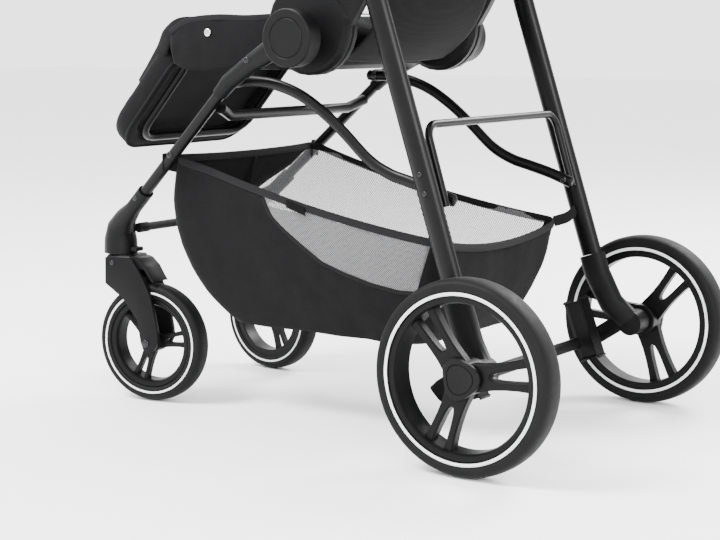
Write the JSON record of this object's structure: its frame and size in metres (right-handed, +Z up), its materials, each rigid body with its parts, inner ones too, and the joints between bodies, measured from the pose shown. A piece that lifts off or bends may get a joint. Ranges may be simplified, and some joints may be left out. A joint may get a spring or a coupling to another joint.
{
  "type": "baby stroller",
  "caption": "Folding baby stroller with swivelling front wheels, a canopy over a reclining seat, a leg rest, a foot brake and an open fabric basket.",
  "frame": {"origin": "middle of the bounding box in plan, at the ground", "axes": "+Z up, +X to the stroller's left, the stroller faces -Y"},
  "size_m": [0.5276, 0.9606, 1.0582],
  "materials": {
    "tube": "satin black",
    "plastic": "matte dark grey",
    "rim": "matte black",
    "tyre": "black foam rubber",
    "cloth": "black woven polyester",
    "grip": "soft dark grip"
  },
  "bodies": {
    "front_frame": {"front_leg_left": "tube", "front_leg_right": "tube", "front_cross_tube": "tube", "lower_front_bar": "tube", "hub_arm_left": "plastic", "hub_arm_right": "plastic", "hub_cap_left": "plastic", "hub_cap_right": "plastic", "front_foot_left": "plastic", "front_foot_right": "plastic", "seat_pan": "plastic", "seat_rail_left": "tube", "seat_rail_right": "tube", "seat_cushion": "cloth", "harness_buckle": "plastic", "basket": "cloth"},
    "push_frame": {"seat_hub_left": "plastic", "seat_hub_right": "plastic", "push_tube_left": "tube", "push_tube_right": "tube", "rear_pivot_left": "plastic", "rear_pivot_right": "plastic", "handle_grip": "grip", "fold_housing": "plastic", "canopy_knuckle_left": "plastic", "canopy_knuckle_right": "plastic", "canopy_bow_rear": "plastic", "canopy_panel_rear": "cloth"},
    "rear_frame": {"rear_leg_left": "tube", "rear_leg_right": "tube", "rear_foot_left": "plastic", "rear_foot_right": "plastic", "rear_cross_tube": "tube"},
    "fold_links": {"fold_link_left": "tube", "fold_link_right": "tube"},
    "caster_left": {"fork_left": "plastic"},
    "caster_right": {"fork_right": "plastic"},
    "front_wheel_left": {"front_tyre_left": "tyre", "front_rim_left": "rim"},
    "front_wheel_right": {"front_tyre_right": "tyre", "front_rim_right": "rim"},
    "rear_wheel_left": {"rear_tyre_left": "tyre", "rear_rim_left": "rim", "rear_hub_cap_left": "plastic"},
    "rear_wheel_right": {"rear_tyre_right": "tyre", "rear_rim_right": "rim", "rear_hub_cap_right": "plastic"},
    "lock_left": {"caster_lock_left": "plastic"},
    "lock_right": {"caster_lock_right": "plastic"},
    "brake": {"brake_bar": "plastic"},
    "leg_rest": {"leg_rest_pad": "cloth", "leg_rest_frame": "tube"},
    "backrest": {"backrest_board": "plastic", "backrest_cushion": "cloth"},
    "canopy_mid": {"canopy_bow_mid": "plastic", "canopy_panel_front": "cloth"},
    "canopy_front": {"canopy_bow_front": "plastic"},
    "fold_trigger": {"fold_trigger": "plastic"}
  },
  "joints": [
    {"name": "frame_fold", "type": "hinge", "parent": "front_frame", "child": "push_frame", "pos_m": [0, -0.1074, 0.521], "axis": [1, 0, 0], "range_deg": [-120, 0], "deforming": ["basket"]},
    {"name": "rear_frame_fold", "type": "hinge", "parent": "push_frame", "child": "rear_frame", "pos_m": [0, -0.00951, 0.60609], "axis": [1, 0, 0], "range_deg": [0, 80]},
    {"name": "fold_link_swing", "type": "hinge", "parent": "front_frame", "child": "fold_links", "pos_m": [0, -0.2224, 0.45], "axis": [1, 0, 0], "range_deg": [-65, 0]},
    {"name": "caster_swivel_left", "type": "hinge", "parent": "front_frame", "child": "caster_left", "pos_m": [0.1442, -0.4474, 0.205], "axis": [0, 0, 1], "continuous": true},
    {"name": "caster_swivel_right", "type": "hinge", "parent": "front_frame", "child": "caster_right", "pos_m": [-0.1442, -0.4474, 0.205], "axis": [0, 0, 1], "continuous": true},
    {"name": "front_wheel_spin_left", "type": "hinge", "parent": "caster_left", "child": "front_wheel_left", "pos_m": [0.13664, -0.39494, 0.0828], "axis": [0.9898, 0.1426, 0], "continuous": true},
    {"name": "front_wheel_spin_right", "type": "hinge", "parent": "caster_right", "child": "front_wheel_right", "pos_m": [-0.1393, -0.39463, 0.0828], "axis": [0.9957, -0.0924, 0], "continuous": true},
    {"name": "rear_wheel_spin_left", "type": "hinge", "parent": "rear_frame", "child": "rear_wheel_left", "pos_m": [0.2452, 0.1746, 0.1175], "axis": [1, 0, 0], "continuous": true},
    {"name": "rear_wheel_spin_right", "type": "hinge", "parent": "rear_frame", "child": "rear_wheel_right", "pos_m": [-0.2452, 0.1746, 0.1175], "axis": [1, 0, 0], "continuous": true},
    {"name": "caster_lock_slide_left", "type": "slide", "parent": "front_frame", "child": "lock_left", "axis": [0, 0, 1], "range_m": [-0.004, 0]},
    {"name": "caster_lock_slide_right", "type": "slide", "parent": "front_frame", "child": "lock_right", "axis": [0, 0, 1], "range_m": [-0.004, 0]},
    {"name": "brake_pedal", "type": "hinge", "parent": "rear_frame", "child": "brake", "pos_m": [0, 0.1166, 0.09], "axis": [1, 0, 0], "range_deg": [-25, 0]},
    {"name": "leg_rest_tilt", "type": "hinge", "parent": "front_frame", "child": "leg_rest", "pos_m": [0, -0.3374, 0.485], "axis": [1, 0, 0], "range_deg": [-45, 12]},
    {"name": "backrest_recline", "type": "hinge", "parent": "push_frame", "child": "backrest", "pos_m": [0, -0.1074, 0.521], "axis": [1, 0, 0], "range_deg": [-10, 24]},
    {"name": "canopy_mid_swing", "type": "hinge", "parent": "push_frame", "child": "canopy_mid", "pos_m": [0, 0.1643, 0.75718], "axis": [1, 0, 0], "range_deg": [-40, 0], "deforming": ["canopy_panel_rear"]},
    {"name": "canopy_front_swing", "type": "hinge", "parent": "canopy_mid", "child": "canopy_front", "pos_m": [0, 0.1643, 0.75718], "axis": [1, 0, 0], "range_deg": [-40, 0], "deforming": ["canopy_panel_front"]},
    {"name": "fold_trigger_slide", "type": "slide", "parent": "push_frame", "child": "fold_trigger", "axis": [0, 0.7547, 0.6561], "range_m": [0, 0.005], "stiffness_N_per_m": 400, "springref_m": -0.004}
  ],
  "couplings": [
    {"joint": "rear_frame_fold", "follows": "frame_fold", "ratio": -0.64},
    {"joint": "fold_link_swing", "follows": "frame_fold", "ratio": 0.52},
    {"joint": "canopy_front_swing", "follows": "canopy_mid_swing", "ratio": 1}
  ]
}
